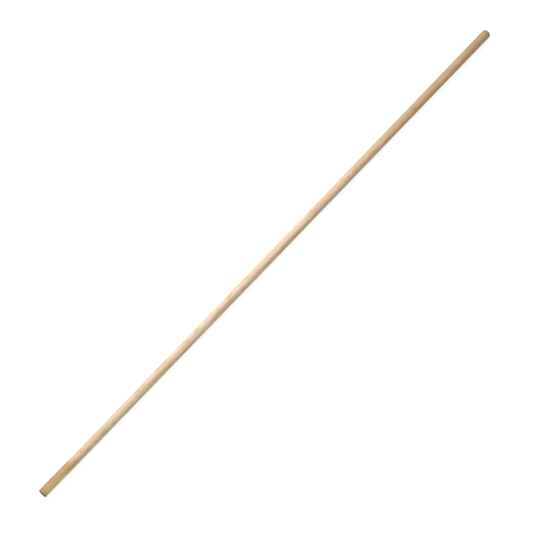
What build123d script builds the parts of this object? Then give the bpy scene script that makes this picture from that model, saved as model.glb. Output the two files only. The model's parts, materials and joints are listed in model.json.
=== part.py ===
from build123d import *
import os

# Wooden roller pole: one turned dowel, lying on the floor with its axis along X.
# +X is the roller end, which pushes into a roller frame's handle socket, and -X is the butt.
# The origin is on the floor, under the middle of the pole's length. Sizes are in millimetres.

# Pole
POLE_LENGTH = 1500.0  # from end face to end face
POLE_DIAMETER = 22.0  # of the straight round stem

# Roller end: turned to a rounded nose, so that it enters the handle socket easily
NOSE_LENGTH = 4.5  # along the pole
NOSE_DEPTH = 4.2  # in from the stem's surface

# Butt end: sawn almost square, with its edge eased by sanding
BUTT_EASE_LENGTH = 2.8  # along the pole
BUTT_EASE_DEPTH = 4.4  # in from the stem's surface

STEM_RADIUS = POLE_DIAMETER / 2
ROLLER_END_X = POLE_LENGTH / 2
BUTT_END_X = -POLE_LENGTH / 2

QUARTER_TURN = 90
FULL_TURN = 360


def pole_half_section():
    """Half of the pole's lengthwise section, from its axis up to its surface."""
    nose_centre = (ROLLER_END_X - NOSE_LENGTH, STEM_RADIUS - NOSE_DEPTH)
    butt_centre = (BUTT_END_X + BUTT_EASE_LENGTH, STEM_RADIUS - BUTT_EASE_DEPTH)
    with BuildSketch() as section:
        with BuildLine():
            nose = EllipticalCenterArc(
                nose_centre, NOSE_LENGTH, NOSE_DEPTH, start_angle=0, arc_size=QUARTER_TURN
            )
            butt = EllipticalCenterArc(
                butt_centre,
                BUTT_EASE_LENGTH,
                BUTT_EASE_DEPTH,
                start_angle=QUARTER_TURN,
                arc_size=QUARTER_TURN,
            )
            Line(nose @ 1, butt @ 0)
            Polyline(butt @ 1, (BUTT_END_X, 0), (ROLLER_END_X, 0), nose @ 0)
        make_face()
    return section.sketch


def make_pole():
    """The whole dowel, raised so that its stem rests on the floor."""
    stem_on_axis = revolve(pole_half_section(), axis=Axis.X, revolution_arc=FULL_TURN)
    return Pos(0, 0, STEM_RADIUS) * stem_on_axis


os.makedirs("parts", exist_ok=True)
export_step(make_pole(), "parts/pole.step")
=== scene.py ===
import json
import math
import random

import bmesh
import bpy
from mathutils import Matrix, Vector, noise


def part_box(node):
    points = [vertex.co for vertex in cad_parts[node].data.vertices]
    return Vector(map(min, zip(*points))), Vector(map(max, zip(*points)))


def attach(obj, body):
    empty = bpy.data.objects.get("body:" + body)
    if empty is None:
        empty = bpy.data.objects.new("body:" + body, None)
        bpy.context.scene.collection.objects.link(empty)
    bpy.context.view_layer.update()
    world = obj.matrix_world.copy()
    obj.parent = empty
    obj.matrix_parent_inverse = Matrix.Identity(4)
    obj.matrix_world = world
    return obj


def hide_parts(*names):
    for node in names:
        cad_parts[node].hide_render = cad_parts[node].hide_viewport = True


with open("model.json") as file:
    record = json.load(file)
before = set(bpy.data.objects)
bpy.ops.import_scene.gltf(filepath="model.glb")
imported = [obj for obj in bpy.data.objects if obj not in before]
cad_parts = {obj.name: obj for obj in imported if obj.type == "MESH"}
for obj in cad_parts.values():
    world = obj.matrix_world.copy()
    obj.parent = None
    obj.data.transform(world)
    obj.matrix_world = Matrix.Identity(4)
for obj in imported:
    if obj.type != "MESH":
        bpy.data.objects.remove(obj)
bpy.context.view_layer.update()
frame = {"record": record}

# The pole's own sizes, in metres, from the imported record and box
MM_PER_M = 1000
MOUNTS = {mount["name"]: mount for mount in frame["record"]["mounts"]}
STEM_RADIUS = MOUNTS["roller_end"]["dims"]["r_mm"] / MM_PER_M
_, _, AXIS_HEIGHT = MOUNTS["roller_end"]["pos_m"]
BUTT_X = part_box("pole")[0].x
ROLLER_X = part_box("pole")[1].x

# Shaped ends, in metres: along the pole, and in from the stem's surface
NOSE_LENGTH = 0.0045
NOSE_DEPTH = 0.0042
BUTT_EASE_LENGTH = 0.0028
BUTT_EASE_DEPTH = 0.0044

# Fineness of the turned mesh
SPIN_STEPS = 144
STEM_CUTS = 479
FACE_CUTS = 9
EASE_STEPS = 10
MERGE_DISTANCE = 0.000001

# Baked texture layout: the stem's skin is unrolled in short lengths, stacked above the two ends
SKIN_LENGTHS = 5
ENDS_ROW = 0.2
ROW_GAP = 0.006
SIDE_GAP = 0.001
END_SPREAD = 0.092
BUTT_DISC_MIDDLE = 0.25
NOSE_DISC_MIDDLE = 0.75

# Relief of the sanded stem: how deep, and how many waves to a metre along it and across it
SANDING_WAVES = {"depth": 0.00009, "along": 7, "across": 30}
RAISED_GRAIN = {"depth": 0.00005, "along": 9, "across": 520}
FUZZ = {"depth": 0.00002, "along": 90, "across": 900}
SKIN_FROM_SHARE = 0.75  # of the stem's radius
NEAR_AXIS = 0.00001

# Knocks along the stem and nicks in the rims, in metres, each with its least and most
SEED = 22
STEM_KNOCKS = 34
KNOCKS_CLEAR_OF_ENDS = 0.02
KNOCK_LENGTHS = (0.0025, 0.008)
KNOCK_DEPTHS = (0.00012, 0.00035)
BUTT_NICKS = 7
NOSE_NICKS = 4
NICK_SETBACKS = (0.0005, 0.0025)
NICK_LENGTHS = (0.0016, 0.0035)
NICK_DEPTHS = (0.0003, 0.0006)
DENT_WIDTH_SHARES = (0.35, 0.6)
DENT_REACH = 2
DENT_STEEPNESS = 2

# Drying checks in the end faces, in metres
BUTT_CHECKS = 4
NOSE_CHECKS = 3
CHECK_STARTS = (0.0008, 0.003)
CHECK_LENGTHS = (0.003, 0.0065)
CHECK_WIDTH = 0.00016
CHECK_DEPTH = 0.0009
CHECK_INNER_TAPER = 0.001
CHECK_OUTER_TAPER = 0.0015
# depth of a check at which its painted shade is full
CHECK_FULL_SHADE_DEPTH = 0.0006

# Ring and saw relief of the end faces: depths and places in metres, and turns in radians per metre
FACE_RELIEF_FULL = 0.0002
FACE_RELIEF_END = 0.0016
END_HEART_Y = 0.009
END_HEART_Z = -0.024
END_RING_DEPTH = 0.00005
END_RING_TURN = 3300
SAW_MARK_DEPTH = 0.00004
SAW_MARK_TURN = 2900
SAW_MARK_Y = 0.8
SAW_MARK_Z = 0.6


def lerp(start, end, share):
    return start + (end - start) * share


def smooth_share(value, low, high):
    """0 below low, 1 above high, and an eased ramp between them."""
    share = min(max((value - low) / (high - low), 0.0), 1.0)
    return share * share * (3 - 2 * share)


def turn_between(start, angle):
    """The turn from start to angle, up to half a turn either way."""
    return (angle - start + math.pi) % math.tau - math.pi


# ---------------------------------------------------------------- the pole's mesh


def eased_corner(face_x, face_radius, length, depth, inward):
    """The rounded corner from an end face to the stem, as (x, radius) points of a quarter ellipse."""
    points = []
    for step in range(EASE_STEPS + 1):
        angle = math.pi / 2 * step / EASE_STEPS
        x = face_x + inward * length * (1 - math.cos(angle))
        points.append((x, face_radius + depth * math.sin(angle)))
    return points


def pole_outline():
    """Half of the pole's outline, from the middle of the butt to the middle of the nose."""
    butt = eased_corner(
        BUTT_X, STEM_RADIUS - BUTT_EASE_DEPTH, BUTT_EASE_LENGTH, BUTT_EASE_DEPTH, 1
    )
    nose = eased_corner(ROLLER_X, STEM_RADIUS - NOSE_DEPTH, NOSE_LENGTH, NOSE_DEPTH, -1)
    return [(BUTT_X, 0.0)] + butt + nose[::-1] + [(ROLLER_X, 0.0)]


def turn_on_lathe(bm):
    """Spins the outline into a closed dowel round the X axis."""
    points = [bm.verts.new((x, 0, radius)) for x, radius in pole_outline()]
    edges = [bm.edges.new(pair) for pair in zip(points, points[1:])]
    stem = max(edges, key=lambda edge: edge.calc_length())
    bmesh.ops.subdivide_edges(bm, edges=[stem], cuts=STEM_CUTS)
    bmesh.ops.subdivide_edges(bm, edges=[edges[0], edges[-1]], cuts=FACE_CUTS)
    bmesh.ops.spin(
        bm,
        geom=bm.verts[:] + bm.edges[:],
        cent=(0, 0, 0),
        axis=(1, 0, 0),
        dvec=(0, 0, 0),
        angle=math.tau,
        steps=SPIN_STEPS,
        use_merge=True,
    )
    bmesh.ops.remove_doubles(bm, verts=bm.verts[:], dist=MERGE_DISTANCE)
    bmesh.ops.recalc_face_normals(bm, faces=bm.faces[:])


class Dent:
    """A small knock or nick in the stem, longer along the grain than across it."""

    def __init__(self, chance, x, lengths, depths):
        self.x = x
        self.angle = chance.uniform(0, math.tau)
        self.length = chance.uniform(*lengths)
        self.depth = chance.uniform(*depths)
        self.width = self.length * chance.uniform(*DENT_WIDTH_SHARES)

    def at(self, x, angle):
        """How deep the dent is at a place on the skin, as a share of its full depth."""
        along = (x - self.x) / self.length
        if abs(along) > DENT_REACH:
            return 0.0
        across = turn_between(self.angle, angle) * STEM_RADIUS / self.width
        return math.exp(-(along * along + across * across) * DENT_STEEPNESS)


def make_dents(chance):
    """Knocks all along the stem, and nicks round the two end rims, where a pole is dropped."""
    dents = []
    for _ in range(STEM_KNOCKS):
        x = chance.uniform(BUTT_X + KNOCKS_CLEAR_OF_ENDS, ROLLER_X - KNOCKS_CLEAR_OF_ENDS)
        dents.append(Dent(chance, x, KNOCK_LENGTHS, KNOCK_DEPTHS))
    for end_x, inward, nicks in ((BUTT_X, 1, BUTT_NICKS), (ROLLER_X, -1, NOSE_NICKS)):
        for _ in range(nicks):
            x = end_x + inward * chance.uniform(*NICK_SETBACKS)
            dents.append(Dent(chance, x, NICK_LENGTHS, NICK_DEPTHS))
    return dents


def make_checks(chance, count):
    """Drying checks in an end face: thin cracks that run out from near the heart."""
    checks = []
    for _ in range(count):
        bearing = chance.randrange(SPIN_STEPS) / SPIN_STEPS * math.tau
        inner = chance.uniform(*CHECK_STARTS)
        checks.append((bearing, inner, inner + chance.uniform(*CHECK_LENGTHS)))
    return checks


def check_depth(checks, radius, angle):
    """How deep the cracks cut at a place on an end face, in metres."""
    deepest = 0.0
    for bearing, inner, outer in checks:
        across = turn_between(bearing, angle) * radius / CHECK_WIDTH
        reach = smooth_share(radius, inner, inner + CHECK_INNER_TAPER)
        reach *= 1 - smooth_share(radius, outer - CHECK_OUTER_TAPER, outer)
        deepest = max(deepest, CHECK_DEPTH * reach * math.exp(-across * across))
    return deepest


def waves(place, depth, along, across):
    """A noisy hollow from 0 to depth, with so many waves per metre along the pole and across it."""
    x, y, z = place
    return depth * (noise.noise((x * along, y * across, z * across)) + 1) / 2


def ring_depth(y, z):
    """Growth rings in an end face, in metres."""
    from_heart = math.hypot(y - END_HEART_Y, z - END_HEART_Z)
    return END_RING_DEPTH * (1 + math.sin(from_heart * END_RING_TURN))


def saw_mark_depth(y, z):
    """Straight saw marks across an end face, in metres."""
    across = y * SAW_MARK_Y + z * SAW_MARK_Z
    return SAW_MARK_DEPTH * (1 + math.sin(across * SAW_MARK_TURN))


def wear_the_wood(bm):
    """Sanding waves, raised grain, knocks, nicks and end checks, all cut inwards from the turned size.

    The shares of knock and of painted crack shade are kept on the mesh, for the wood's colours.
    """
    chance = random.Random(SEED)
    dents = make_dents(chance)
    checks = {-1: make_checks(chance, BUTT_CHECKS), 1: make_checks(chance, NOSE_CHECKS)}
    knocked = bm.verts.layers.float.new("knocked")
    crack_shade = bm.verts.layers.float.new("crack_shade")
    for vert in bm.verts:
        place = vert.co.copy()
        x, y, z = place
        radius = math.hypot(y, z)
        angle = math.atan2(z, y)
        out = Vector((0, y, z)).normalized() if radius > NEAR_AXIS else Vector((0, 0, 0))
        end = 1 if x > 0 else -1
        from_end = min(x - BUTT_X, ROLLER_X - x)
        on_skin = smooth_share(radius, STEM_RADIUS * SKIN_FROM_SHARE, STEM_RADIUS)
        sanded = waves(place, **SANDING_WAVES) + waves(place, **RAISED_GRAIN) + waves(place, **FUZZ)
        deepest = 0.0
        shade = 0.0
        for dent in dents:
            share = dent.at(x, angle)
            deepest = max(deepest, share * dent.depth)
            shade = max(shade, share)
        vert[knocked] = shade
        vert.co -= out * on_skin * (sanded + deepest)
        on_face = 1 - smooth_share(from_end, FACE_RELIEF_FULL, FACE_RELIEF_END)
        if on_face > 0:
            crack = check_depth(checks[end], radius, angle)
            vert.co.x -= end * on_face * (crack + ring_depth(y, z) + saw_mark_depth(y, z))
            # painted shade: darker the deeper the check cuts
            vert[crack_shade] = on_face * min(crack / CHECK_FULL_SHADE_DEPTH, 1.0)


def lay_out_skin(bm):
    """The bake map: the stem unrolled in lengths that fill the width, above the two end discs."""
    bake_map = bm.loops.layers.uv.new("OFBake")
    stem_start = BUTT_X + BUTT_EASE_LENGTH
    stem_end = ROLLER_X - NOSE_LENGTH
    piece_length = (stem_end - stem_start) / SKIN_LENGTHS
    row_height = (1 - ENDS_ROW) / SKIN_LENGTHS
    for face in bm.faces:
        middle = face.calc_center_median()
        middle_angle = math.atan2(middle.z, middle.y) % math.tau
        on_butt = middle.x < stem_start
        on_nose = middle.x > stem_end
        row = min(int((middle.x - stem_start) / piece_length), SKIN_LENGTHS - 1)
        for loop in face.loops:
            x, y, z = loop.vert.co
            angle = math.atan2(z, y)
            if on_butt or on_nose:
                from_end = x - BUTT_X if on_butt else ROLLER_X - x
                spread = (math.hypot(y, z) + from_end) / (STEM_RADIUS + NOSE_LENGTH) * END_SPREAD
                side = -1 if on_butt else 1
                disc_middle = BUTT_DISC_MIDDLE if on_butt else NOSE_DISC_MIDDLE
                loop[bake_map].uv = (
                    disc_middle + side * spread * math.cos(angle),
                    ENDS_ROW / 2 + spread * math.sin(angle),
                )
            else:
                turn = turn_between(middle_angle, angle) + middle_angle
                along = (x - stem_start) / piece_length - row
                bottom = ENDS_ROW + row * row_height + ROW_GAP
                loop[bake_map].uv = (
                    lerp(SIDE_GAP, 1 - SIDE_GAP, min(max(along, 0.0), 1.0)),
                    lerp(bottom, bottom + row_height - 2 * ROW_GAP, turn / math.tau),
                )


def make_pole():
    bm = bmesh.new()
    turn_on_lathe(bm)
    lay_out_skin(bm)
    wear_the_wood(bm)
    bmesh.ops.translate(bm, verts=bm.verts[:], vec=(0, 0, AXIS_HEIGHT))
    for face in bm.faces:
        face.smooth = True
    mesh = bpy.data.meshes.new("turned_pole")
    bm.to_mesh(mesh)
    bm.free()
    pole = bpy.data.objects.new("turned_pole", mesh)
    bpy.context.scene.collection.objects.link(pole)
    return pole


# ---------------------------------------------------------------- shader sums


class Value:
    """One output in a finish. Sums on values and plain numbers add Math nodes."""

    def __init__(self, finish, socket):
        self.finish = finish
        self.socket = socket

    def _sum(self, operation, first, second):
        return self.finish.maths(operation, first, second)

    def __add__(self, other):
        return self._sum("ADD", self, other)

    def __radd__(self, other):
        return self._sum("ADD", other, self)

    def __sub__(self, other):
        return self._sum("SUBTRACT", self, other)

    def __rsub__(self, other):
        return self._sum("SUBTRACT", other, self)

    def __mul__(self, other):
        return self._sum("MULTIPLY", self, other)

    def __rmul__(self, other):
        return self._sum("MULTIPLY", other, self)

    def __truediv__(self, other):
        return self._sum("DIVIDE", self, other)

    def __rtruediv__(self, other):
        return self._sum("DIVIDE", other, self)


# Each seed moves its noise by this much along X, Y and Z
SEED_STEP = (1.0, 0.7, 1.3)

# Where a Mix node that mixes colours has its factor, its two colours and its result
MIX_FACTOR = 0
MIX_FIRST = 6
MIX_SECOND = 7
MIX_RESULT = 2


class Finish:
    """A node tree that is built by calls to node()."""

    def __init__(self, tree):
        self.tree = tree
        tree.nodes.clear()

    def node(self, kind, settings=None, sockets=None, output=0):
        """Adds a node: its settings first, then a number or a link for each socket."""
        made = self.tree.nodes.new(kind)
        for name, setting in (settings or {}).items():
            setattr(made, name, setting)
        for name, value in (sockets or {}).items():
            if isinstance(value, Value):
                self.tree.links.new(value.socket, made.inputs[name])
            else:
                made.inputs[name].default_value = value
        return Value(self, made.outputs[output]) if made.outputs else None

    def maths(self, operation, first, second=0.0):
        """A Math node that Python has no operator for."""
        return self.node("ShaderNodeMath", {"operation": operation}, {0: first, 1: second})

    def distance(self, across, up):
        """The straight distance that two offsets at right angles make."""
        return self.maths("SQRT", across * across + up * up)

    def ramp(self, value, low, high):
        """0 where value is below low, 1 where it is above high, eased between."""
        return self.node(
            "ShaderNodeMapRange",
            {"interpolation_type": "SMOOTHSTEP"},
            {"Value": value, "From Min": low, "From Max": high},
        )

    def fall(self, value, low, high):
        """1 where value is below low, 0 where it is above high, eased between."""
        return 1 - self.ramp(value, low, high)

    def grain(self, place, along, across, seed, detail=2.0, roughness=0.5):
        """Noise that is stretched along the pole: so many per metre along it and across it."""
        shift = [seed * step for step in SEED_STEP]
        stretched = self.node(
            "ShaderNodeMapping",
            {},
            {"Vector": place, "Location": shift, "Scale": (along, across, across)},
        )
        return self.noise(stretched, detail, roughness)

    def noise(self, vector, detail, roughness=0.5):
        """Noise that reads the given vector as it is."""
        return self.node(
            "ShaderNodeTexNoise",
            {},
            {"Vector": vector, "Scale": 1.0, "Detail": detail, "Roughness": roughness},
        )

    def drift(self, along, swings, seed, reach):
        """A slow wander along the pole, to reach either way, with so many swings per metre."""
        wander = self.node(
            "ShaderNodeTexNoise",
            {"noise_dimensions": "1D"},
            {"W": along * swings + seed, "Scale": 1.0, "Detail": 1.0, "Roughness": 0.4},
        )
        return (wander * 2 - 1) * reach

    def stain(self, share, colour, other, most=1.0):
        """colour where share is 0, towards other where it is 1, as far as most allows."""
        factor = share * most if most < 1 else share
        return self.node(
            "ShaderNodeMix",
            {"data_type": "RGBA"},
            {MIX_FACTOR: factor, MIX_FIRST: colour, MIX_SECOND: other},
            output=MIX_RESULT,
        )


# A colour as it is mixed on a paint card runs from 0 to 255 on this curve
CARD_WHITE = 255
CURVE_TOE = 0.04045
CURVE_TOE_SLOPE = 12.92
CURVE_LIFT = 0.055
CURVE_POWER = 2.4


def linear(red, green, blue):
    """A paint-card colour in the linear values that shaders take."""
    mixed = []
    for part in (red, green, blue):
        share = part / CARD_WHITE
        if share <= CURVE_TOE:
            mixed.append(share / CURVE_TOE_SLOPE)
        else:
            mixed.append(((share + CURVE_LIFT) / (1 + CURVE_LIFT)) ** CURVE_POWER)
    return (*mixed, 1.0)


# ---------------------------------------------------------------- wood

CREAM = linear(237, 216, 187)
# painted fill light: a paler colour for the shaded -Y side
PAINTED_FILL_PALE = linear(250, 233, 202)
PEACH = linear(232, 204, 174)
STRAW = linear(217, 192, 138)
GOLD = linear(206, 172, 112)
TAN = linear(197, 167, 122)
UMBER = linear(168, 141, 110)
# painted highlight: a whiter tint for the side that faces the key light, greyer towards the roller end
PAINTED_HIGHLIGHT_PALE = linear(240, 225, 209)
PAINTED_HIGHLIGHT_GREY = linear(190, 175, 157)
KHAKI = linear(179, 152, 103)
OLIVE = linear(150, 130, 80)
BLUSH = linear(226, 193, 168)
PALE_OCHRE = linear(250, 229, 190)
OCHRE = linear(190, 161, 98)
DARK_OCHRE = linear(143, 119, 68)
DEEP_OCHRE = linear(196, 163, 92)
LATEWOOD = linear(186, 148, 104)
FIBRE_BROWN = linear(168, 130, 88)
PORE_BROWN = linear(120, 86, 56)
END_GRAIN = linear(134, 98, 64)
END_DIRT = linear(104, 72, 46)
KNOCK_GREY = linear(140, 116, 88)
HANDLED = linear(150, 129, 108)

# Growth rings, in metres: the heart lies beside the pole and wanders along it
RING_WIDTH = 0.0017
RING_WAVER = 1.1
HEART_Y = 0.010
HEART_Z = -0.027
HEART_Y_REACH = 0.006
HEART_Z_REACH = 0.008

# Ray flecks: how many to a metre along and out, and to a radian round the heart
RAYS_ALONG = 55
RAYS_ROUND = 120
RAYS_OUT = 140

# How far each change of colour along the stem wanders, in metres
ROLLER_TAN_WANDER = 0.14
BUTT_TAN_WANDER = 0.10
KHAKI_WANDER = 0.05
TIP_WANDER = 0.03

# Umber clouds: their share at the butt, and how much more towards the roller end
UMBER_SHARE = 0.20
UMBER_SHARE_GAIN = 0.34

# The dark patch at the butt, in metres, with its edge's slant and arch across the pole
PATCH_LENGTH = 0.104
PATCH_SLANT = 1.6
PATCH_ARCH = 60
PATCH_WANDER = 0.024

# End grain: the least share of its brown, and how much more where dirt lies
END_BROWN_SHARE = 0.72
END_BROWN_DIRT_GAIN = 0.3

# Smudges: how much of them is missing in mid-length
SMUDGE_MID_LOSS = 0.7

# Roughness of the sanded wood, and what each feature adds to it or takes off
SANDED_ROUGHNESS = 0.50
FIBRE_ROUGHNESS = 0.12
PORE_ROUGHNESS = 0.15
END_ROUGHNESS = 0.2
LATEWOOD_POLISH = 0.08

# Height of each feature in the bump, as a share of its full distance
LATEWOOD_RISE = 0.25
FIBRE_RISE = 0.35
STREAK_RISE = 0.3
PORE_SINK = 0.5
RAY_SINK = 0.1
END_DIRT_RISE = 0.6


class Places:
    """The places on the pole that its colours are laid out by: z is up from its axis."""

    def __init__(self, wood):
        self.place = wood.node("ShaderNodeTexCoord", output="Object")
        self.x = wood.node("ShaderNodeSeparateXYZ", {}, {"Vector": self.place})
        axes = self.x.socket.node.outputs
        self.y = Value(wood, axes["Y"])
        self.z = Value(wood, axes["Z"]) - AXIS_HEIGHT
        self.from_end = wood.maths("MINIMUM", self.x - BUTT_X, ROLLER_X - self.x)


class Figure:
    """Growth rings, fibres, pores and ray flecks."""

    def __init__(self, wood, pole):
        heart_y = pole.y - HEART_Y - wood.drift(pole.x, swings=1.1, seed=3.7, reach=HEART_Y_REACH)
        heart_z = pole.z - HEART_Z - wood.drift(pole.x, swings=0.9, seed=11.2, reach=HEART_Z_REACH)
        ring_radius = wood.distance(heart_y, heart_z)
        self.waver = wood.grain(pole.place, along=5, across=70, seed=2.0)
        ring = wood.maths("FRACT", ring_radius / RING_WIDTH + self.waver * RING_WAVER)
        self.latewood = wood.ramp(ring, low=0.35, high=0.86) * wood.fall(ring, low=0.9, high=1.0)

        bearing = wood.maths("ARCTAN2", heart_z, heart_y)
        ray_place = wood.node(
            "ShaderNodeCombineXYZ",
            {},
            {"X": pole.x * RAYS_ALONG, "Y": bearing * RAYS_ROUND, "Z": ring_radius * RAYS_OUT},
        )
        self.rays = wood.ramp(wood.noise(ray_place, detail=1.0), low=0.62, high=0.72)

        self.fibre = wood.grain(pole.place, along=16, across=1500, seed=5.0, detail=3.0, roughness=0.6)
        self.streak = wood.grain(pole.place, along=4, across=330, seed=9.0, detail=3.0, roughness=0.6)
        pore_field = wood.grain(pole.place, along=130, across=2600, seed=14.0, detail=1.0)
        self.pores = wood.ramp(pore_field, low=0.6, high=0.7)


def stem_colour(wood, pole, figure):
    """Pale in the middle, tan towards both ends, with a painted highlight on the lit +Y side and
    painted fill light on the shaded -Y side near the butt, and mottled all along.
    """
    x = pole.x
    y = pole.y
    mottle = wood.grain(pole.place, along=9, across=45, seed=21.0)
    cloud = wood.grain(pole.place, along=30, across=90, seed=27.0)
    patch = wood.grain(pole.place, along=4.5, across=30, seed=33.0)
    blush = wood.grain(pole.place, along=22, across=60, seed=61.0, detail=1.0)
    to_roller = wood.ramp(x + mottle * ROLLER_TAN_WANDER, low=0.14, high=0.57)
    to_butt = wood.fall(x - mottle * BUTT_TAN_WANDER, low=-0.70, high=-0.54)
    butt_tan = to_butt * wood.ramp(y, low=-0.012, high=0.004)
    # painted fill light: the -Y side, away from the key light, is made paler towards the butt
    painted_fill_side = wood.fall(y, low=-0.009, high=0.001) * wood.fall(x, low=-0.45, high=0.05)
    khaki_end = wood.ramp(x + patch * KHAKI_WANDER, low=0.42, high=0.74)
    umber_share = UMBER_SHARE + to_roller * UMBER_SHARE_GAIN
    painted_highlight_tint = wood.stain(to_roller, PAINTED_HIGHLIGHT_PALE, PAINTED_HIGHLIGHT_GREY)

    colour = wood.stain(wood.ramp(mottle, low=0.35, high=0.68), CREAM, PEACH)
    colour = wood.stain(wood.ramp(patch, low=0.48, high=0.72), colour, STRAW, most=0.55)
    colour = wood.stain(butt_tan, colour, TAN, most=0.62)
    # painted fill light on the shaded -Y side
    colour = wood.stain(painted_fill_side, colour, PAINTED_FILL_PALE, most=0.75)
    colour = wood.stain(to_roller, colour, TAN, most=0.80)
    colour = wood.stain(khaki_end, colour, KHAKI, most=0.55)
    colour = wood.stain(wood.ramp(blush, low=0.5, high=0.66), colour, BLUSH, most=0.38)
    # painted highlight: the +Y side, lit by the key light, is whitened
    colour = wood.stain(wood.ramp(y, low=-0.002, high=0.009), colour, painted_highlight_tint, most=0.52)
    colour = wood.stain(wood.ramp(cloud, low=0.52, high=0.68), colour, GOLD, most=0.55)
    colour = wood.stain(wood.fall(cloud, low=0.3, high=0.46) * umber_share, colour, UMBER)

    # the olive tip of the roller end
    tip = wood.ramp(x + figure.waver * TIP_WANDER, low=ROLLER_X - 0.11, high=ROLLER_X - 0.025)
    return wood.stain(tip * wood.ramp(y, low=-0.022, high=0.006), colour, OLIVE, most=0.44)


def add_butt_patch(wood, pole, figure, colour):
    """A dark ochre patch, with a slanting arched edge that reaches further up the -Y side."""
    slant = pole.y * PATCH_SLANT
    arch = pole.z * pole.z * PATCH_ARCH
    edge = pole.x - BUTT_X - PATCH_LENGTH + slant + arch + (figure.waver - 0.5) * PATCH_WANDER
    inside = wood.fall(edge, low=-0.014, high=0.016)
    rim = wood.ramp(edge, low=-0.060, high=-0.026) * wood.fall(edge, low=-0.024, high=0.008)
    ochre = wood.stain(wood.ramp(pole.y, low=-0.009, high=0.001), PALE_OCHRE, OCHRE)
    ochre = wood.stain(wood.ramp(pole.y, low=0.001, high=0.010), ochre, DARK_OCHRE)
    colour = wood.stain(inside, colour, ochre, most=0.90)
    return wood.stain(rim, colour, DEEP_OCHRE, most=0.55)


def add_figure(wood, figure, colour):
    """Darker latewood, streaks, fibres and pores, and paler ray flecks, over the ground colour."""
    colour = wood.stain(figure.latewood, colour, LATEWOOD, most=0.40)
    colour = wood.stain(wood.ramp(figure.streak, low=0.45, high=0.8), colour, FIBRE_BROWN, most=0.45)
    colour = wood.stain(wood.ramp(figure.fibre, low=0.5, high=0.85), colour, FIBRE_BROWN, most=0.35)
    colour = wood.stain(figure.rays, colour, CREAM, most=0.22)
    return wood.stain(figure.pores, colour, PORE_BROWN, most=0.42)


def add_end_grain(wood, pole, figure, end_grain, dirt, colour):
    """Browner end faces, the dirt that they take up, and the handled wood just behind them."""
    brown_share = END_BROWN_SHARE + dirt * END_BROWN_DIRT_GAIN
    dirty = end_grain * wood.ramp(dirt, low=0.45, high=0.7)
    colour = wood.stain(wood.fall(pole.from_end, low=0.003, high=0.016), colour, HANDLED, most=0.55)
    colour = wood.stain(end_grain * brown_share, colour, END_GRAIN)
    colour = wood.stain(dirty, colour, END_DIRT, most=0.6)
    return wood.stain(end_grain * figure.latewood, colour, END_DIRT, most=0.55)


def add_wear(wood, pole, colour):
    """Painted shade in the checks, grey knocks, and faint smudges from hands, mostly near the ends."""
    knocked = wood.node("ShaderNodeAttribute", {"attribute_name": "knocked"}, output="Fac")
    crack_shade = wood.node("ShaderNodeAttribute", {"attribute_name": "crack_shade"}, output="Fac")
    hands = wood.grain(pole.place, along=30, across=120, seed=52.0, detail=4.0, roughness=0.65)
    near_ends = 1 - wood.ramp(pole.from_end, low=0.05, high=0.55) * SMUDGE_MID_LOSS
    smudge = wood.ramp(hands, low=0.56, high=0.78) * near_ends
    # painted shade inside the checks, in the end-dirt colour
    colour = wood.stain(crack_shade, colour, END_DIRT, most=0.9)
    colour = wood.stain(knocked, colour, KNOCK_GREY, most=0.4)
    return wood.stain(smudge, colour, KNOCK_GREY, most=0.22)


def make_wood():
    material = bpy.data.materials.new("bare_pole_wood")
    material.use_nodes = True
    wood = Finish(material.node_tree)
    pole = Places(wood)
    figure = Figure(wood, pole)
    end_grain = wood.fall(pole.from_end, low=0.0008, high=0.0050)
    dirt = wood.grain(pole.place, along=160, across=160, seed=41.0, detail=3.0)

    colour = stem_colour(wood, pole, figure)
    colour = add_butt_patch(wood, pole, figure, colour)
    colour = add_figure(wood, figure, colour)
    colour = add_end_grain(wood, pole, figure, end_grain, dirt, colour)
    colour = add_wear(wood, pole, colour)

    roughness = (
        SANDED_ROUGHNESS
        + figure.fibre * FIBRE_ROUGHNESS
        + figure.pores * PORE_ROUGHNESS
        + end_grain * END_ROUGHNESS
        - figure.latewood * LATEWOOD_POLISH
    )
    height = (
        figure.latewood * LATEWOOD_RISE
        + figure.fibre * FIBRE_RISE
        + figure.streak * STREAK_RISE
        - figure.pores * PORE_SINK
        - figure.rays * RAY_SINK
        + dirt * end_grain * END_DIRT_RISE
    )
    bump = wood.node(
        "ShaderNodeBump", {}, {"Strength": 0.55, "Distance": 0.00012, "Height": height}
    )
    surface = wood.node(
        "ShaderNodeBsdfPrincipled",
        {},
        {
            "Base Color": colour,
            "Roughness": roughness,
            "Normal": bump,
            "Specular IOR Level": 0.5,
            "Sheen Weight": 0.12,
            "Sheen Roughness": 0.45,
        },
    )
    wood.node("ShaderNodeOutputMaterial", {}, {"Surface": surface})
    return material


# ---------------------------------------------------------------- floor, light and camera

WHITE = (1.0, 1.0, 1.0, 1.0)
WARM_FILL = (1.0, 0.96, 0.89, 1.0)
KEY_WHITE = (0.97, 0.985, 1.0)
FLOOR_WHITE = (0.92, 0.95, 1.0, 1.0)
FLOOR_BOUNCE = (0.72, 0.71, 0.69, 1.0)
FLOOR_SIZE = 9.0

# The key light: its size, place and aim in metres, and its power in watts
SOFTBOX_LENGTH = 2.4
SOFTBOX_WIDTH = 1.2
SOFTBOX_POWER = 57
SOFTBOX_PLACE = Vector((-0.1, 1.75, 1.75))
SOFTBOX_AIM = Vector((-0.1, 0, AXIS_HEIGHT))

CAMERA_TILT = math.radians(12)
CAMERA_ROLL = math.radians(46.09)
CAMERA_DISTANCE = 4.9
CAMERA_LENS = 140.35
CAMERA_AIM = Vector((-0.0148, -0.0245, AXIS_HEIGHT))


def seen_directly(finish):
    """1 for rays that show the background to the eye, straight or in a reflection."""
    seen = finish.node("ShaderNodeLightPath", output="Is Camera Ray")
    rays = seen.socket.node.outputs
    for path in ("Is Glossy Ray", "Is Transmission Ray"):
        seen = finish.maths("MAXIMUM", seen, Value(finish, rays[path]))
    return seen


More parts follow.
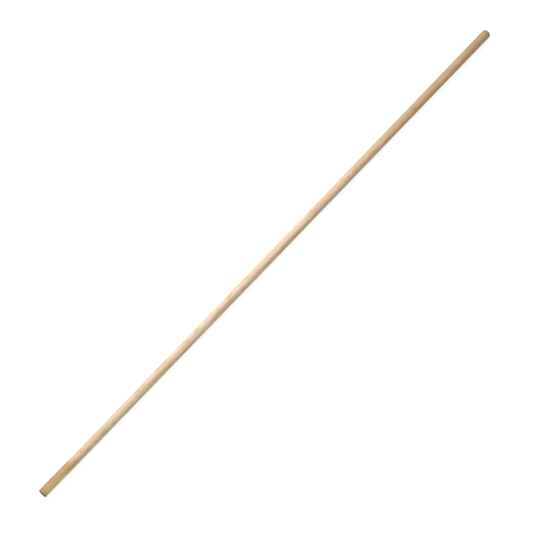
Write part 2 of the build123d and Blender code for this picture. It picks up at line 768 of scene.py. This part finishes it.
def make_floor():
    bm = bmesh.new()
    bmesh.ops.create_grid(bm, x_segments=1, y_segments=1, size=FLOOR_SIZE)
    mesh = bpy.data.meshes.new("studio_floor")
    bm.to_mesh(mesh)
    bm.free()
    floor = bpy.data.objects.new("studio_floor", mesh)
    bpy.context.scene.collection.objects.link(floor)
    material = bpy.data.materials.new("pale_floor")
    material.use_nodes = True
    pale = Finish(material.node_tree)
    lit = pale.node("ShaderNodeBsdfDiffuse", {}, {"Color": FLOOR_WHITE})
    glow = pale.node("ShaderNodeEmission", {}, {"Color": WHITE, "Strength": 0.62})
    bright = pale.node("ShaderNodeAddShader", {}, {0: lit, 1: glow})
    bounce = pale.node("ShaderNodeBsdfDiffuse", {}, {"Color": FLOOR_BOUNCE})
    surface = pale.node("ShaderNodeMixShader", {}, {0: seen_directly(pale), 1: bounce, 2: bright})
    pale.node("ShaderNodeOutputMaterial", {}, {"Surface": surface})
    floor.data.materials.append(material)


def make_world():
    world = bpy.data.worlds.new("studio")
    world.use_nodes = True
    bpy.context.scene.world = world
    studio = Finish(world.node_tree)
    fill = studio.node("ShaderNodeBackground", {}, {"Color": WARM_FILL, "Strength": 0.43})
    backdrop = studio.node("ShaderNodeBackground", {}, {"Color": WHITE, "Strength": 1.0})
    surface = studio.node(
        "ShaderNodeMixShader", {}, {0: seen_directly(studio), 1: fill, 2: backdrop}
    )
    studio.node("ShaderNodeOutputWorld", {}, {"Surface": surface})


def make_softbox():
    """One large soft key light, up and to the pole's +Y side."""
    data = bpy.data.lights.new("softbox", "AREA")
    data.shape = "RECTANGLE"
    data.size = SOFTBOX_LENGTH
    data.size_y = SOFTBOX_WIDTH
    data.energy = SOFTBOX_POWER
    data.color = KEY_WHITE
    lamp = bpy.data.objects.new("softbox", data)
    bpy.context.scene.collection.objects.link(lamp)
    lamp.location = SOFTBOX_PLACE
    aim = SOFTBOX_AIM - SOFTBOX_PLACE
    lamp.rotation_euler = aim.to_track_quat("-Z", "Y").to_euler()


def make_camera():
    """Looks down on the pole from nearer its butt, rolled so that the pole rises to the right."""
    data = bpy.data.cameras.new("view")
    data.lens = CAMERA_LENS
    camera = bpy.data.objects.new("view", data)
    bpy.context.scene.collection.objects.link(camera)
    back = Vector((-math.sin(CAMERA_TILT), 0, math.cos(CAMERA_TILT)))
    along = Vector((math.cos(CAMERA_TILT), 0, math.sin(CAMERA_TILT)))
    across = back.cross(along)
    right = along * math.cos(CAMERA_ROLL) - across * math.sin(CAMERA_ROLL)
    up = along * math.sin(CAMERA_ROLL) + across * math.cos(CAMERA_ROLL)
    turned = Matrix((right, up, back)).transposed().to_4x4()
    camera.matrix_world = Matrix.Translation(CAMERA_AIM + back * CAMERA_DISTANCE) @ turned
    bpy.context.scene.camera = camera


# ---------------------------------------------------------------- the scene

bpy.context.scene.view_settings.view_transform = "Standard"
make_camera()
make_world()
make_softbox()
make_floor()

turned_pole = make_pole()
turned_pole.data.materials.append(make_wood())
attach(turned_pole, "root")
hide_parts("pole")
